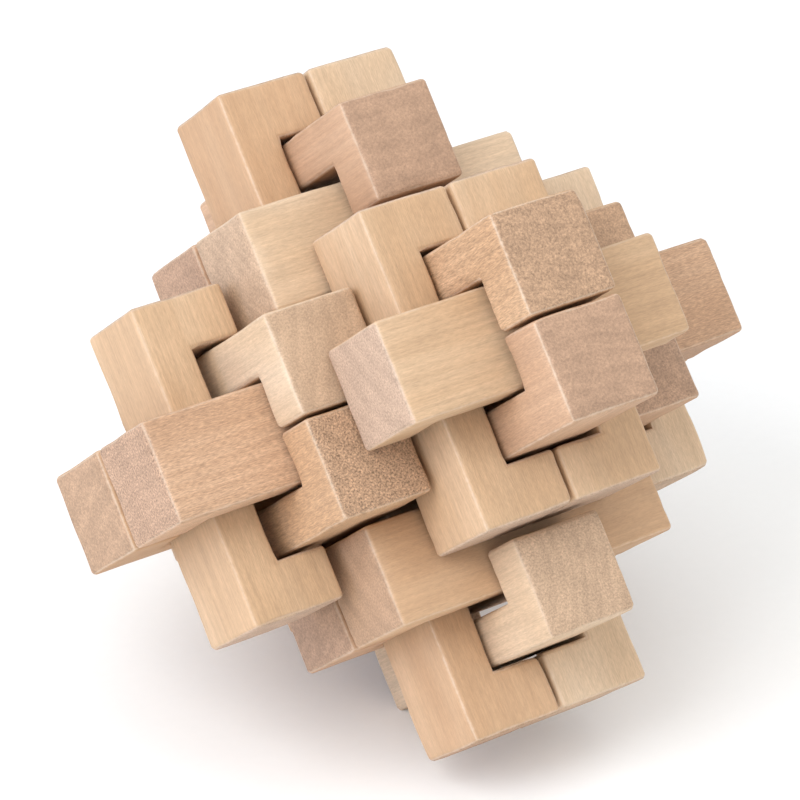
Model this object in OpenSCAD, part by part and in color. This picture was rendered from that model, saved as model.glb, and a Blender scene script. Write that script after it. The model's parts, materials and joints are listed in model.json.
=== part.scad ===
// Interlocking stick burr: twenty-four notched square sticks, eight along each of three axes.
// In the sticks' own axes X runs left to right, Y front to back and Z up, with the burr's centre
// at 0. Along each axis lie an inner pair of long sticks, four short sticks in two rows beside
// it, and two short outer sticks. Every stick is notched on the side that faces its neighbour.
// Two of the outer sticks are keys: their notch runs out through one end, so they slide out.

/* [Sticks] */
// Width and height of every square stick
stick_w = 10.5; // [9:0.5:14]
// Solid end beyond each end of a long stick's notch
long_end = 6; // [5:0.5:8]
// Solid end beyond each end of a short stick's notch
short_end = 5.6; // [4.6:0.1:6.6]
// Radius worn on the outer edges
edge_r = 0.5; // [0.2:0.1:0.9]

/* [Play] */
// Gap between the two sticks of a pair
pair_gap = 0.4; // [0.4:0.1:1]
// Gap between a pair and the row outside it
row_gap = 0.6; // [0.6:0.1:1.2]
// Depth of a notch beyond half of the stick
notch_play = 0.2; // [0.2:0.1:0.5]
// Length of a short notch beyond the pair that it holds
length_play = 0.8; // [0.8:0.1:1.4]
// Gap between the end of a short stick and the outer stick beyond it
end_gap = 1; // [1:0.1:1.6]
// Gap between an outer stick and the end of the long notch that it sits in
outer_gap = 0.4; // [0.4:0.1:1]

/* [Settling] */
// How far the long X pair has slid left, with the two outer sticks in its notch
pair_slip = 0.6; // [0:0.1:0.8]
// How far each key has crept out along its slide
key_slip = 0.5; // [0:0.1:1]
// How far the front key has dropped in towards the centre
key_drop = 0.6; // [0:0.1:0.8]

/* [Hidden] */

X = 0;
Y = 1;
Z = 2;
cream = "#ecd2ac";
honey = "#dcb98a";
tan = "#cda47a";
rose = "#cf9f7c";

notch_depth = stick_w / 2 + notch_play;
pair_width = 2 * stick_w + pair_gap;
short_len = pair_width + length_play + 2 * short_end;
pair_offset = (stick_w + pair_gap) / 2;
row_offset = pair_width / 2 + row_gap + stick_w / 2;
outer_offset = short_len / 2 + end_gap + stick_w / 2;
long_len = 2 * (outer_offset + stick_w / 2 + outer_gap + long_end);

// The burr leans back and rests on the back corners of two sticks: the lower outer Y stick,
// and behind it the lower long Y stick. It stands on the plane z = 0, its middle over X = 0.
outer_reach = short_len / 2;
outer_depth = outer_offset + stick_w / 2;
long_reach = long_len / 2;
long_depth = pair_width / 2;
lean = atan2(outer_depth - long_depth, long_reach - outer_reach);
centre_height = sin(lean) * (outer_reach - edge_r) + cos(lean) * (outer_depth - edge_r) + edge_r;
centre_x = pair_slip;
$fn = 32;

// Rectangle with rounded corners, centred on 0
module rounded_rect(length, width) {
    union() {
        square([length - 2 * edge_r, width], center = true);
        square([length, width - 2 * edge_r], center = true);
        for (x = [-1, 1], y = [-1, 1])
            translate([x * (length / 2 - edge_r), y * (width / 2 - edge_r)]) circle(edge_r);
    }
}

// Side view of a stick along X, with its notch in the -Y edge and rounded notch mouths
module notched_outline(length, end, open_end) {
    web_h = stick_w - notch_depth;
    block_x = (length - end) / 2;
    translate([0, notch_depth / 2]) rounded_rect(length, web_h);
    translate([-block_x, 0]) rounded_rect(end, stick_w);
    if (!open_end) translate([block_x, 0]) rounded_rect(end, stick_w);
}

// One stick along X. Three outlines cross, so every outer edge is rounded.
module notched_stick(length, end, open_end = false) {
    intersection() {
        translate([0, 0, -stick_w / 2])
            linear_extrude(stick_w) notched_outline(length, end, open_end);
        translate([0, stick_w / 2, 0])
            rotate([90, 0, 0]) linear_extrude(stick_w) rounded_rect(length, stick_w);
        translate([-length / 2, 0, 0])
            rotate([90, 0, 90]) linear_extrude(length) rounded_rect(stick_w, stick_w);
    }
}

// Turns a stick's own axes so that it runs along X, Y or Z, and leans the burr back.
// A turn about the cube's diagonal takes X to Y, Y to Z and Z to X.
module stick_axis(axis) {
    translate([centre_x, 0, centre_height])
        rotate([-lean, 0, 0])
            rotate(a = 120 * axis, v = [1, 1, 1]) children();
}

// side is -1 or 1, for which side of the centre a stick lies on; its notch faces the centre.
// slip is along the stick, and drop is towards the centre.
module long_stick(axis, side, slip = 0) {
    stick_axis(axis) translate([slip, side * pair_offset, 0])
        mirror([0, side < 0 ? 1 : 0, 0]) notched_stick(long_len, long_end);
}

// row is -1 or 1, for which of the two rows beside the long pair the stick is in
module row_stick(axis, side, row) {
    stick_axis(axis) translate([0, side * pair_offset, row * row_offset])
        mirror([0, side < 0 ? 1 : 0, 0]) notched_stick(short_len, short_end);
}

module outer_stick(axis, side, slip = 0, drop = 0, key = false) {
    stick_axis(axis) translate([slip, side * (outer_offset - drop), 0])
        mirror([0, side < 0 ? 1 : 0, 0]) notched_stick(short_len, short_end, key);
}

// Inner pairs
module long_x_front() color(rose) long_stick(X, -1, -pair_slip);
module long_x_back() color(tan) long_stick(X, 1, -pair_slip);
module long_y_upper() color(tan) long_stick(Y, 1);
module long_y_lower() color(rose) long_stick(Y, -1);
module long_z_left() color(tan) long_stick(Z, -1);
module long_z_right() color(cream) long_stick(Z, 1);

// Rows above and below the long X pair
module short_x_upper_front() color(cream) row_stick(X, -1, 1);
module short_x_upper_back() color(rose) row_stick(X, 1, 1);
module short_x_lower_front() color(tan) row_stick(X, -1, -1);
module short_x_lower_back() color(rose) row_stick(X, 1, -1);

// Rows left and right of the long Y pair
module short_y_left_upper() color(cream) row_stick(Y, 1, -1);
module short_y_left_lower() color(tan) row_stick(Y, -1, -1);
module short_y_right_upper() color(tan) row_stick(Y, 1, 1);
module short_y_right_lower() color(rose) row_stick(Y, -1, 1);

// Rows in front of and behind the long Z pair
module short_z_front_left() color(honey) row_stick(Z, -1, -1);
module short_z_front_right() color(honey) row_stick(Z, 1, -1);
module short_z_back_left() color(tan) row_stick(Z, -1, 1);
module short_z_back_right() color(tan) row_stick(Z, 1, 1);

// Outer sticks, with the two keys
module key_x_front() color(honey) outer_stick(X, -1, -key_slip, key_drop, key = true);
module outer_x_back() color(cream) outer_stick(X, 1);
module key_y_upper() color(rose) outer_stick(Y, 1, -key_slip, key = true);
module outer_y_lower() color(cream) outer_stick(Y, -1);
module outer_z_left() color(honey) outer_stick(Z, -1, drop = -pair_slip);
module outer_z_right() color(cream) outer_stick(Z, 1, drop = pair_slip);

long_x_front();
long_x_back();
long_y_upper();
long_y_lower();
long_z_left();
long_z_right();
short_x_upper_front();
short_x_upper_back();
short_x_lower_front();
short_x_lower_back();
short_y_left_upper();
short_y_left_lower();
short_y_right_upper();
short_y_right_lower();
short_z_front_left();
short_z_front_right();
short_z_back_left();
short_z_back_right();
key_x_front();
outer_x_back();
key_y_upper();
outer_y_lower();
outer_z_left();
outer_z_right();
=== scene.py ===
"""Looks for the wooden stick burr: twenty-four bare, sanded sticks lying on a pale floor.

Each stick is rebuilt from its CAD node as a finer mesh in the stick's own axes, with x along the grain,
y away from the burr's centre and z across. Its edges are worn unevenly, and one procedural wood, with
its own growth rings and tone on every stick, covers it.
"""

import json
import math
import random

import bpy
import numpy as np
from mathutils import Matrix, Vector, noise


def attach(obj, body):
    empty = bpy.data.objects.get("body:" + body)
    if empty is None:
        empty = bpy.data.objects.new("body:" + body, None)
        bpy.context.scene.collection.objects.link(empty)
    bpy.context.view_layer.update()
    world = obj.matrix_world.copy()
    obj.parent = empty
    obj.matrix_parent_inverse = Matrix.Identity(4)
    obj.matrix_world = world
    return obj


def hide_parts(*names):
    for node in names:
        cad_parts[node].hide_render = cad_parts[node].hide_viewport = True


MM = 0.001
AXES = {"x": 0, "y": 1, "z": 2}

# Edges, in millimetres
EDGE_RADIUS = 0.5  # as in the CAD
EXTRA_WEAR = 0.35  # how much rounder an edge is where it is most worn
DENT_DEPTH = 0.1
WEAR_SCALE = 0.22  # patches of wear and dents, in cycles per millimetre
DENT_SCALE = 0.9
GRID_STEP = 0.9
ROUNDING_STEPS = (0.0, 0.42, 0.73, 1.0)  # grid lines beside an edge, as shares of the radius
WEAR_REACH = 2.0  # how far from an edge the wear mask counts

# Tones of the wood by material slot: side grain where it is light, where it is dark, and end grain
TONES = {
    "pale_beech": ((0.65, 0.49, 0.34), (0.59, 0.42, 0.27), (0.52, 0.36, 0.24)),
    "honey_beech": ((0.61, 0.43, 0.275), (0.54, 0.355, 0.21), (0.50, 0.35, 0.25)),
    "tan_beech": ((0.58, 0.38, 0.23), (0.49, 0.30, 0.17), (0.44, 0.28, 0.175)),
    "rose_beech": ((0.56, 0.36, 0.23), (0.46, 0.28, 0.17), (0.44, 0.28, 0.185)),
}
# Sticks cut from coarser wood, with stronger flecks and pores
COARSE = {"long_y_upper", "short_y_left_lower", "long_x_front"}
WORN_AND_HIGHLIGHT_TONE = (0.76, 0.62, 0.48)  # the paler wood at the edges, partly wear and partly a painted highlight

# Grain, in cycles per millimetre along a stick and across it
STREAK_SCALE = (0.1, 2.8, 2.8)
FLECK_SCALE = (1.3, 8.0, 8.0)
SPECKLE_SCALE = (4.6, 4.6, 4.6)
BLOTCH_SCALE = (0.25, 0.35, 0.35)
DRIFT_SCALE = (0.03, 0.09, 0.09)
RAGGED_SCALE = (1.2, 1.2, 1.2)

# Growth rings, in millimetres
YEAR_WIDTH = (1.3, 2.6)  # least and most, drawn for each stick
PITH_DISTANCE = (14, 40)  # the same, from the stick's middle
RING_DRIFT = 3.0  # how far the rings wander

# Camera, from the photograph's viewing angle, and the strength of the white surround
VIEW_AZIMUTH = -37.40
VIEW_ELEVATION = 31.90
VIEW_ROLL = 3.34
VIEW_DISTANCE = 0.4777
VIEW_AIM = Vector((-0.0002, 0.0006, 0.0317))
LENS = 213.4
SURROUND = 0.78


def burr_lean(joints):
    """The angle by which the burr leans back about X. The upper key slides along the leaning Y sticks."""
    axis = next(Vector(joint["axis"]) for joint in joints if joint["name"] == "upper_key_slide")
    return math.atan2(axis.z, -axis.y)


class Stick:
    """Size, notch and place of a stick, measured on its CAD node. Lengths are in millimetres."""

    def __init__(self, node, mesh, lean):
        axis = AXES[node.split("_")[1]]
        axis_turn = Matrix.Rotation(math.radians(120 * axis), 3, Vector((1, 1, 1)))
        turn = Matrix.Rotation(-lean, 3, "X") @ axis_turn
        points = np.array([turn.transposed() @ v.co for v in mesh.vertices]) / MM
        low, high = points.min(0), points.max(0)
        points -= (low + high) / 2
        self.half = (high - low) / 2

        # Halfway across a stick, only its notch floor has points.
        inner = points[abs(points[:, 1]) < self.half[1] / 2]
        level = inner[abs(inner[:, 1]).argmin(), 1]
        floor = inner[abs(inner[:, 1] - level) < 0.01, 0]
        self.floor = abs(level)
        self.notch_start = floor.min()
        self.notch_end = floor.max()
        self.open_end = self.half[0] - self.notch_end < self.half[1] / 2
        if self.open_end:
            self.notch_end = self.half[0]

        # A notch that opens the other way is the same stick, turned half round along its length.
        if level < 0:
            flip = Matrix.Rotation(math.pi, 3, "X")
        else:
            flip = Matrix.Identity(3)
        centre = turn @ Vector((low + high) / 2 * MM)
        self.place = Matrix.Translation(centre) @ (turn @ flip).to_4x4()

    def boxes(self):
        """(low corner, high corner) of the web above the notch and of the block at each closed end."""
        hx, hy, hz = self.half
        boxes = [((-hx, self.floor, -hz), (hx, hy, hz)), ((-hx, -hy, -hz), (self.notch_start, hy, hz))]
        if not self.open_end:
            boxes.append(((self.notch_end, -hy, -hz), (hx, hy, hz)))
        return [(np.array(low), np.array(high)) for low, high in boxes]


def grid_lines(stops):
    """Grid coordinates from stop to stop. Each stop is (coordinate, sides that are rounded there)."""
    lines = set()
    for value, sides in stops:
        lines |= {round(value + side * share * EDGE_RADIUS, 4) for side in sides for share in ROUNDING_STEPS}
        lines.add(round(value, 4))
    lines = sorted(lines)
    filled = lines[:1]
    for start, end in zip(lines, lines[1:]):
        count = max(1, round((end - start) / GRID_STEP))
        filled += [start + (end - start) * i / count for i in range(1, count + 1)]
    return np.array(filled)


def block_surface(stick):
    """Vertices and quads of the stick's surface with square edges, on a grid."""
    hx, hy, hz = stick.half
    x_stops = [(-hx, [1]), (stick.notch_start, [-1]), (hx, [-1])]
    if not stick.open_end:
        x_stops.insert(2, (stick.notch_end, [1]))
    lines = [
        grid_lines(x_stops),
        grid_lines([(-hy, [1]), (stick.floor, [1]), (hy, [-1])]),
        grid_lines([(-hz, [1]), (hz, [-1])]),
    ]
    middles = np.stack(np.meshgrid(*[(line[1:] + line[:-1]) / 2 for line in lines], indexing="ij"), -1)
    solid = np.zeros(middles.shape[:3], bool)
    for low, high in stick.boxes():
        solid |= ((middles > low) & (middles < high)).all(-1)
    solid = np.pad(solid, 1)

    quads = []
    for axis in range(3):
        u, v = [a for a in range(3) if a != axis]
        for side in (-1, 1):
            open_cells = np.argwhere(solid & ~np.roll(solid, -side, axis)) - 1
            corner = np.repeat(open_cells[:, None, :], 4, axis=1)
            corner[:, :, axis] += side > 0
            corner[:, (1, 2), u] += 1
            corner[:, (2, 3), v] += 1
            outward = (side > 0) == (axis != 1)
            quads.append(corner if outward else corner[:, ::-1])
    quads = np.concatenate(quads)
    keys, faces = np.unique(quads.reshape(-1, 3), axis=0, return_inverse=True)
    vertices = np.stack([lines[axis][keys[:, axis]] for axis in range(3)], -1)
    return vertices, faces.reshape(-1, 4)


def nearest_core(points, boxes, inset):
    """Nearest point, to each point, of the boxes shrunk by inset."""
    inset = np.reshape(inset, (-1, 1))
    choices = np.stack([np.clip(points, low + inset, high - inset) for low, high in boxes])
    distances = np.linalg.norm(points - choices, axis=-1)
    return choices[distances.argmin(0), np.arange(len(points))]


def worn_vertices(points, stick, rng):
    """The square surface with its outer edges worn round, and each vertex's distance from an edge."""
    seed = Vector([rng.uniform(0, 500) for _ in range(3)])
    wobble = np.array([noise.noise(Vector(p) * WEAR_SCALE + seed) for p in points])
    dents = np.array([noise.noise(Vector(p) * DENT_SCALE - seed) for p in points])
    radius = EDGE_RADIUS + EXTRA_WEAR * np.clip(0.15 + 1.5 * wobble, 0, 1)
    core = nearest_core(points, stick.boxes(), radius)
    outward = points - core
    outward /= np.linalg.norm(outward, axis=1, keepdims=True)

    reach = np.sort(abs(points - nearest_core(points, stick.boxes(), WEAR_REACH)), axis=1)[:, 1]
    edge_distance = WEAR_REACH - reach
    near_edge = np.clip(1 - edge_distance / EDGE_RADIUS, 0, 1)
    radius -= DENT_DEPTH * near_edge * np.clip(2 * dents - 0.3, 0, 1)
    return core + outward * radius[:, None], edge_distance


def build_stick(node, stick, rng):
    """The finer stick as an object in place of its CAD node. Its wood is laid out in its own axes."""
    points, faces = block_surface(stick)
    worn, edge_distance = worn_vertices(points, stick, rng)
    mesh = bpy.data.meshes.new(node + "_wood")
    mesh.from_pydata((worn * MM).tolist(), [], faces.tolist())
    mesh.attributes.new("edge_distance", "FLOAT", "POINT").data.foreach_set("value", edge_distance)
    mesh.attributes.new("in_stick", "FLOAT_VECTOR", "POINT").data.foreach_set("vector", worn.ravel())
    mesh.transform(stick.place)
    mesh.shade_smooth()
    mesh.set_sharp_from_angle(angle=math.radians(40))
    piece = bpy.data.objects.new(node + "_wood", mesh)
    bpy.context.scene.collection.objects.link(piece)
    return piece


def add(tree, kind, inputs=None, **settings):
    """Adds a shader node. Its inputs are values or sockets, by name or number."""
    node = tree.nodes.new("ShaderNode" + kind)
    for key, value in settings.items():
        setattr(node, key, value)
    for key, value in (inputs or {}).items():
        if isinstance(value, bpy.types.NodeSocket):
            tree.links.new(value, node.inputs[key])
        else:
            node.inputs[key].default_value = value
    return node


def math_node(tree, operation, first, second=0.0):
    return add(tree, "Math", {0: first, 1: second}, operation=operation).outputs[0]


def multiply_add(tree, value, factor, addend):
    inputs = {0: value, 1: factor, 2: addend}
    return add(tree, "Math", inputs, operation="MULTIPLY_ADD").outputs[0]


def vector_node(tree, operation, first, second):
    return add(tree, "VectorMath", {0: first, 1: second}, operation=operation).outputs["Vector"]


def noise_node(tree, coords, scale, detail=2.0, roughness=0.5):
    """Noise from 0 to 1 that is scaled by a different amount along each axis, in cycles per millimetre."""
    stretched = vector_node(tree, "MULTIPLY", coords, scale)
    inputs = {"Vector": stretched, "Scale": 1.0, "Detail": detail, "Roughness": roughness}
    return add(tree, "TexNoise", inputs).outputs["Fac"]


def ramp_node(tree, value, low, high):
    """0 below low and 1 above high, smooth between."""
    inputs = {"Value": value, "From Min": low, "From Max": high}
    return add(tree, "MapRange", inputs, interpolation_type="SMOOTHSTEP").outputs["Result"]


def mix_colour(tree, factor, first, second, blend="MIX"):
    node = add(tree, "Mix", data_type="RGBA", blend_type=blend)
    for socket, value in ((0, factor), (6, first), (7, second)):
        if isinstance(value, bpy.types.NodeSocket):
            tree.links.new(value, node.inputs[socket])
        elif socket == 0:
            node.inputs[0].default_value = value
        else:
            node.inputs[socket].default_value = (*value, 1.0)
    return node.outputs[2]


def around_one(tree, value, amount):
    """Turns 0 to 1 into a factor that varies by amount on both sides of 1."""
    return multiply_add(tree, math_node(tree, "SUBTRACT", value, 0.5), 2 * amount, 1.0)


def growth_rings(tree, coords, rng):
    """Rings round a pith outside the stick, a soft rise and a quicker fall across each year."""
    bearing = rng.uniform(0, 2 * math.pi)
    distance = rng.uniform(*PITH_DISTANCE)
    pith = (0.0, distance * math.cos(bearing), distance * math.sin(bearing))
    across = vector_node(tree, "MULTIPLY", coords, (0.03, 1.0, 1.0))
    from_pith = vector_node(tree, "SUBTRACT", across, pith)
    radius = add(tree, "VectorMath", {0: from_pith}, operation="LENGTH").outputs["Value"]
    drift = noise_node(tree, coords, (0.03, 0.12, 0.12), detail=1.0)
    wandering = multiply_add(tree, drift, RING_DRIFT, radius)
    year = math_node(tree, "FRACT", math_node(tree, "DIVIDE", wandering, rng.uniform(*YEAR_WIDTH)))
    rise = ramp_node(tree, year, 0.0, 0.8)
    fall = ramp_node(tree, year, 0.8, 1.0)
    return math_node(tree, "SUBTRACT", rise, fall)


def wood(name, slot, along, rng):
    """Bare sanded wood: growth rings, streaks and flecks along the grain, speckled end grain, and edges paler from
    wear and a painted highlight.
    """
    material = bpy.data.materials.new(name + "_beech")
    material.use_nodes = True
    tree = material.node_tree
    surface = tree.nodes["Principled BSDF"]
    light, dark, end = TONES[slot]
    coarseness = 2.0 if name in COARSE else 1.0

    in_stick = add(tree, "Attribute", attribute_name="in_stick").outputs["Vector"]
    coords = vector_node(tree, "ADD", in_stick, [rng.uniform(-300, 300) for _ in range(3)])
    normal = add(tree, "TexCoord").outputs["Normal"]
    facing = add(tree, "VectorMath", {0: normal, 1: along}, operation="DOT_PRODUCT").outputs["Value"]
    end_grain = ramp_node(tree, math_node(tree, "ABSOLUTE", facing), 0.5, 0.85)

    rings = growth_rings(tree, in_stick, rng)
    drift = noise_node(tree, coords, DRIFT_SCALE)
    streaks = noise_node(tree, coords, STREAK_SCALE, detail=3.0, roughness=0.6)
    flecks = noise_node(tree, coords, FLECK_SCALE, roughness=0.7)
    speckle = noise_node(tree, coords, SPECKLE_SCALE, detail=1.5, roughness=0.75)
    blotches = noise_node(tree, coords, BLOTCH_SCALE)

    # Side grain
    side = mix_colour(tree, ramp_node(tree, drift, 0.35, 0.65), light, dark)
    side = mix_colour(tree, math_node(tree, "MULTIPLY", rings, rng.uniform(0.15, 0.4)), side, dark)
    flecked = rng.uniform(0.2, 0.4) * coarseness
    for value, amount in ((streaks, rng.uniform(0.1, 0.25)), (flecks, flecked), (blotches, 0.1)):
        side = vector_node(tree, "MULTIPLY", side, around_one(tree, value, amount))

    # End grain, with the pores seen end on
    deep_end = [0.8 * channel for channel in end]
    ends = mix_colour(tree, math_node(tree, "MULTIPLY", rings, 0.4), end, deep_end)
    for value, amount in ((speckle, rng.uniform(0.4, 0.7) * coarseness), (blotches, 0.2)):
        ends = vector_node(tree, "MULTIPLY", ends, around_one(tree, value, amount))
    colour = mix_colour(tree, end_grain, side, ends)

    # Edges are paler in a ragged line, partly from wear and partly from a painted highlight along every edge
    distance = add(tree, "Attribute", attribute_name="edge_distance").outputs["Fac"]
    ragged = noise_node(tree, coords, RAGGED_SCALE, detail=3.0, roughness=0.7)
    uneven = multiply_add(tree, ragged, -0.7, distance)
    away_from_pale_edge = ramp_node(tree, uneven, -0.45, 0.0)
    pale_edge_strength = rng.uniform(0.25, 0.5)
    # mix towards the pale edge tone: wear together with a painted highlight
    worn = multiply_add(tree, away_from_pale_edge, -pale_edge_strength, pale_edge_strength)
    tree.links.new(mix_colour(tree, worn, colour, WORN_AND_HIGHLIGHT_TONE), surface.inputs["Base Color"])

    tree.links.new(multiply_add(tree, flecks, 0.25, 0.5), surface.inputs["Roughness"])
    surface.inputs["Specular IOR Level"].default_value = 0.3

    height = mix_colour(tree, end_grain, flecks, speckle)
    bump = add(tree, "Bump", {"Strength": 0.4, "Distance": 0.08 * MM, "Height": height})
    tree.links.new(bump.outputs[0], surface.inputs["Normal"])
    return material


def floor_material():
    """Pale matt paper with a faint tooth."""
    material = bpy.data.materials.new("pale_floor")
    material.use_nodes = True
    tree = material.node_tree
    surface = tree.nodes["Principled BSDF"]
    coords = vector_node(tree, "MULTIPLY", add(tree, "TexCoord").outputs["Object"], (1000, 1000, 1000))
    tooth = noise_node(tree, coords, (0.8, 0.8, 0.8), detail=3.0)
    colour = mix_colour(tree, tooth, (0.94, 0.94, 0.93), (0.97, 0.97, 0.96))
    tree.links.new(colour, surface.inputs["Base Color"])
    surface.inputs["Roughness"].default_value = 0.85
    surface.inputs["Specular IOR Level"].default_value = 0.2
    return material


def build_floor():
    size = 3.0
    mesh = bpy.data.meshes.new("floor")
    corners = [(x * size, y * size, 0) for x, y in ((-1, -1), (1, -1), (1, 1), (-1, 1))]
    mesh.from_pydata(corners, [], [(0, 1, 2, 3)])
    floor = bpy.data.objects.new("floor", mesh)
    floor.data.materials.append(floor_material())
    bpy.context.scene.collection.objects.link(floor)


def area_light(name, position, size, watts, colour=(1, 1, 1)):
    """A square soft light that faces the burr."""
    lamp = bpy.data.lights.new(name, "AREA")
    lamp.size = size
    lamp.energy = watts
    lamp.color = colour
    light = bpy.data.objects.new(name, lamp)
    light.location = position
    towards = VIEW_AIM - Vector(position)
    light.rotation_euler = towards.to_track_quat("-Z", "Y").to_euler()
    bpy.context.scene.collection.objects.link(light)


def light_studio():
    """A near key from the upper left, a cool light from the side, weak fills and a white surround."""
    area_light("key_left", (-0.26, -0.06, 0.27), 0.22, 0.75)
    area_light("cool_side", (-0.90, 0.12, 0.22), 0.6, 3.1, (0.45, 0.62, 1.0))
    area_light("top", (0.0, -0.05, 0.35), 0.25, 0.2)
    area_light("fill_right", (0.45, -0.30, 0.35), 0.4, 0.65, (0.85, 0.93, 1.0))
    world = bpy.data.worlds.new("studio")
    world.use_nodes = True
    world.node_tree.nodes["Background"].inputs["Color"].default_value = (1.0, 1.0, 1.0, 1.0)
    world.node_tree.nodes["Background"].inputs["Strength"].default_value = SURROUND
    bpy.context.scene.world = world
    bpy.context.scene.view_settings.view_transform = "Standard"


def place_camera():
    """The camera at the photograph's angle, with its slight roll."""
    azimuth, elevation = math.radians(VIEW_AZIMUTH), math.radians(VIEW_ELEVATION)
    level = math.cos(elevation)
    outward = Vector((math.sin(azimuth) * level, -math.cos(azimuth) * level, math.sin(elevation)))
    camera = bpy.data.objects.new("camera", bpy.data.cameras.new("camera"))
    camera.data.lens = LENS
    camera.data.clip_start = 0.01
    roll = Matrix.Rotation(math.radians(VIEW_ROLL), 3, "Z")
    turn = (-outward).to_track_quat("-Z", "Y").to_matrix() @ roll
    camera.matrix_world = Matrix.Translation(VIEW_AIM + outward * VIEW_DISTANCE) @ turn.to_4x4()
    bpy.context.scene.collection.objects.link(camera)
    bpy.context.scene.camera = camera


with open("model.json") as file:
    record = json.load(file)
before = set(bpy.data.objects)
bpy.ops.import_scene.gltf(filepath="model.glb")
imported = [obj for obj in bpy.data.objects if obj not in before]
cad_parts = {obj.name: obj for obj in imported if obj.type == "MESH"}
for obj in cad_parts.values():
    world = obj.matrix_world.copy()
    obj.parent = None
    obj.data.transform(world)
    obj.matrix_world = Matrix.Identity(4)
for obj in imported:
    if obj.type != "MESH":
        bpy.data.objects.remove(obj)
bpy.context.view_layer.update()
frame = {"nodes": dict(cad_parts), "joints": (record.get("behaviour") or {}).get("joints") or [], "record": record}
lean = burr_lean(frame["joints"])
slots = {part["node"]: part["material_slot"] for part in frame["record"]["subparts"]}
for body, nodes in frame["record"]["behaviour"]["bodies"].items():
    for node in nodes:
        rng = random.Random(node)
        stick = Stick(node, frame["nodes"][node].data, lean)
        piece = build_stick(node, stick, rng)
        along = stick.place.to_3x3().col[0]
        piece.data.materials.append(wood(node, slots[node], along, rng))
        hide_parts(node)
        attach(piece, body)

build_floor()
light_studio()
place_camera()
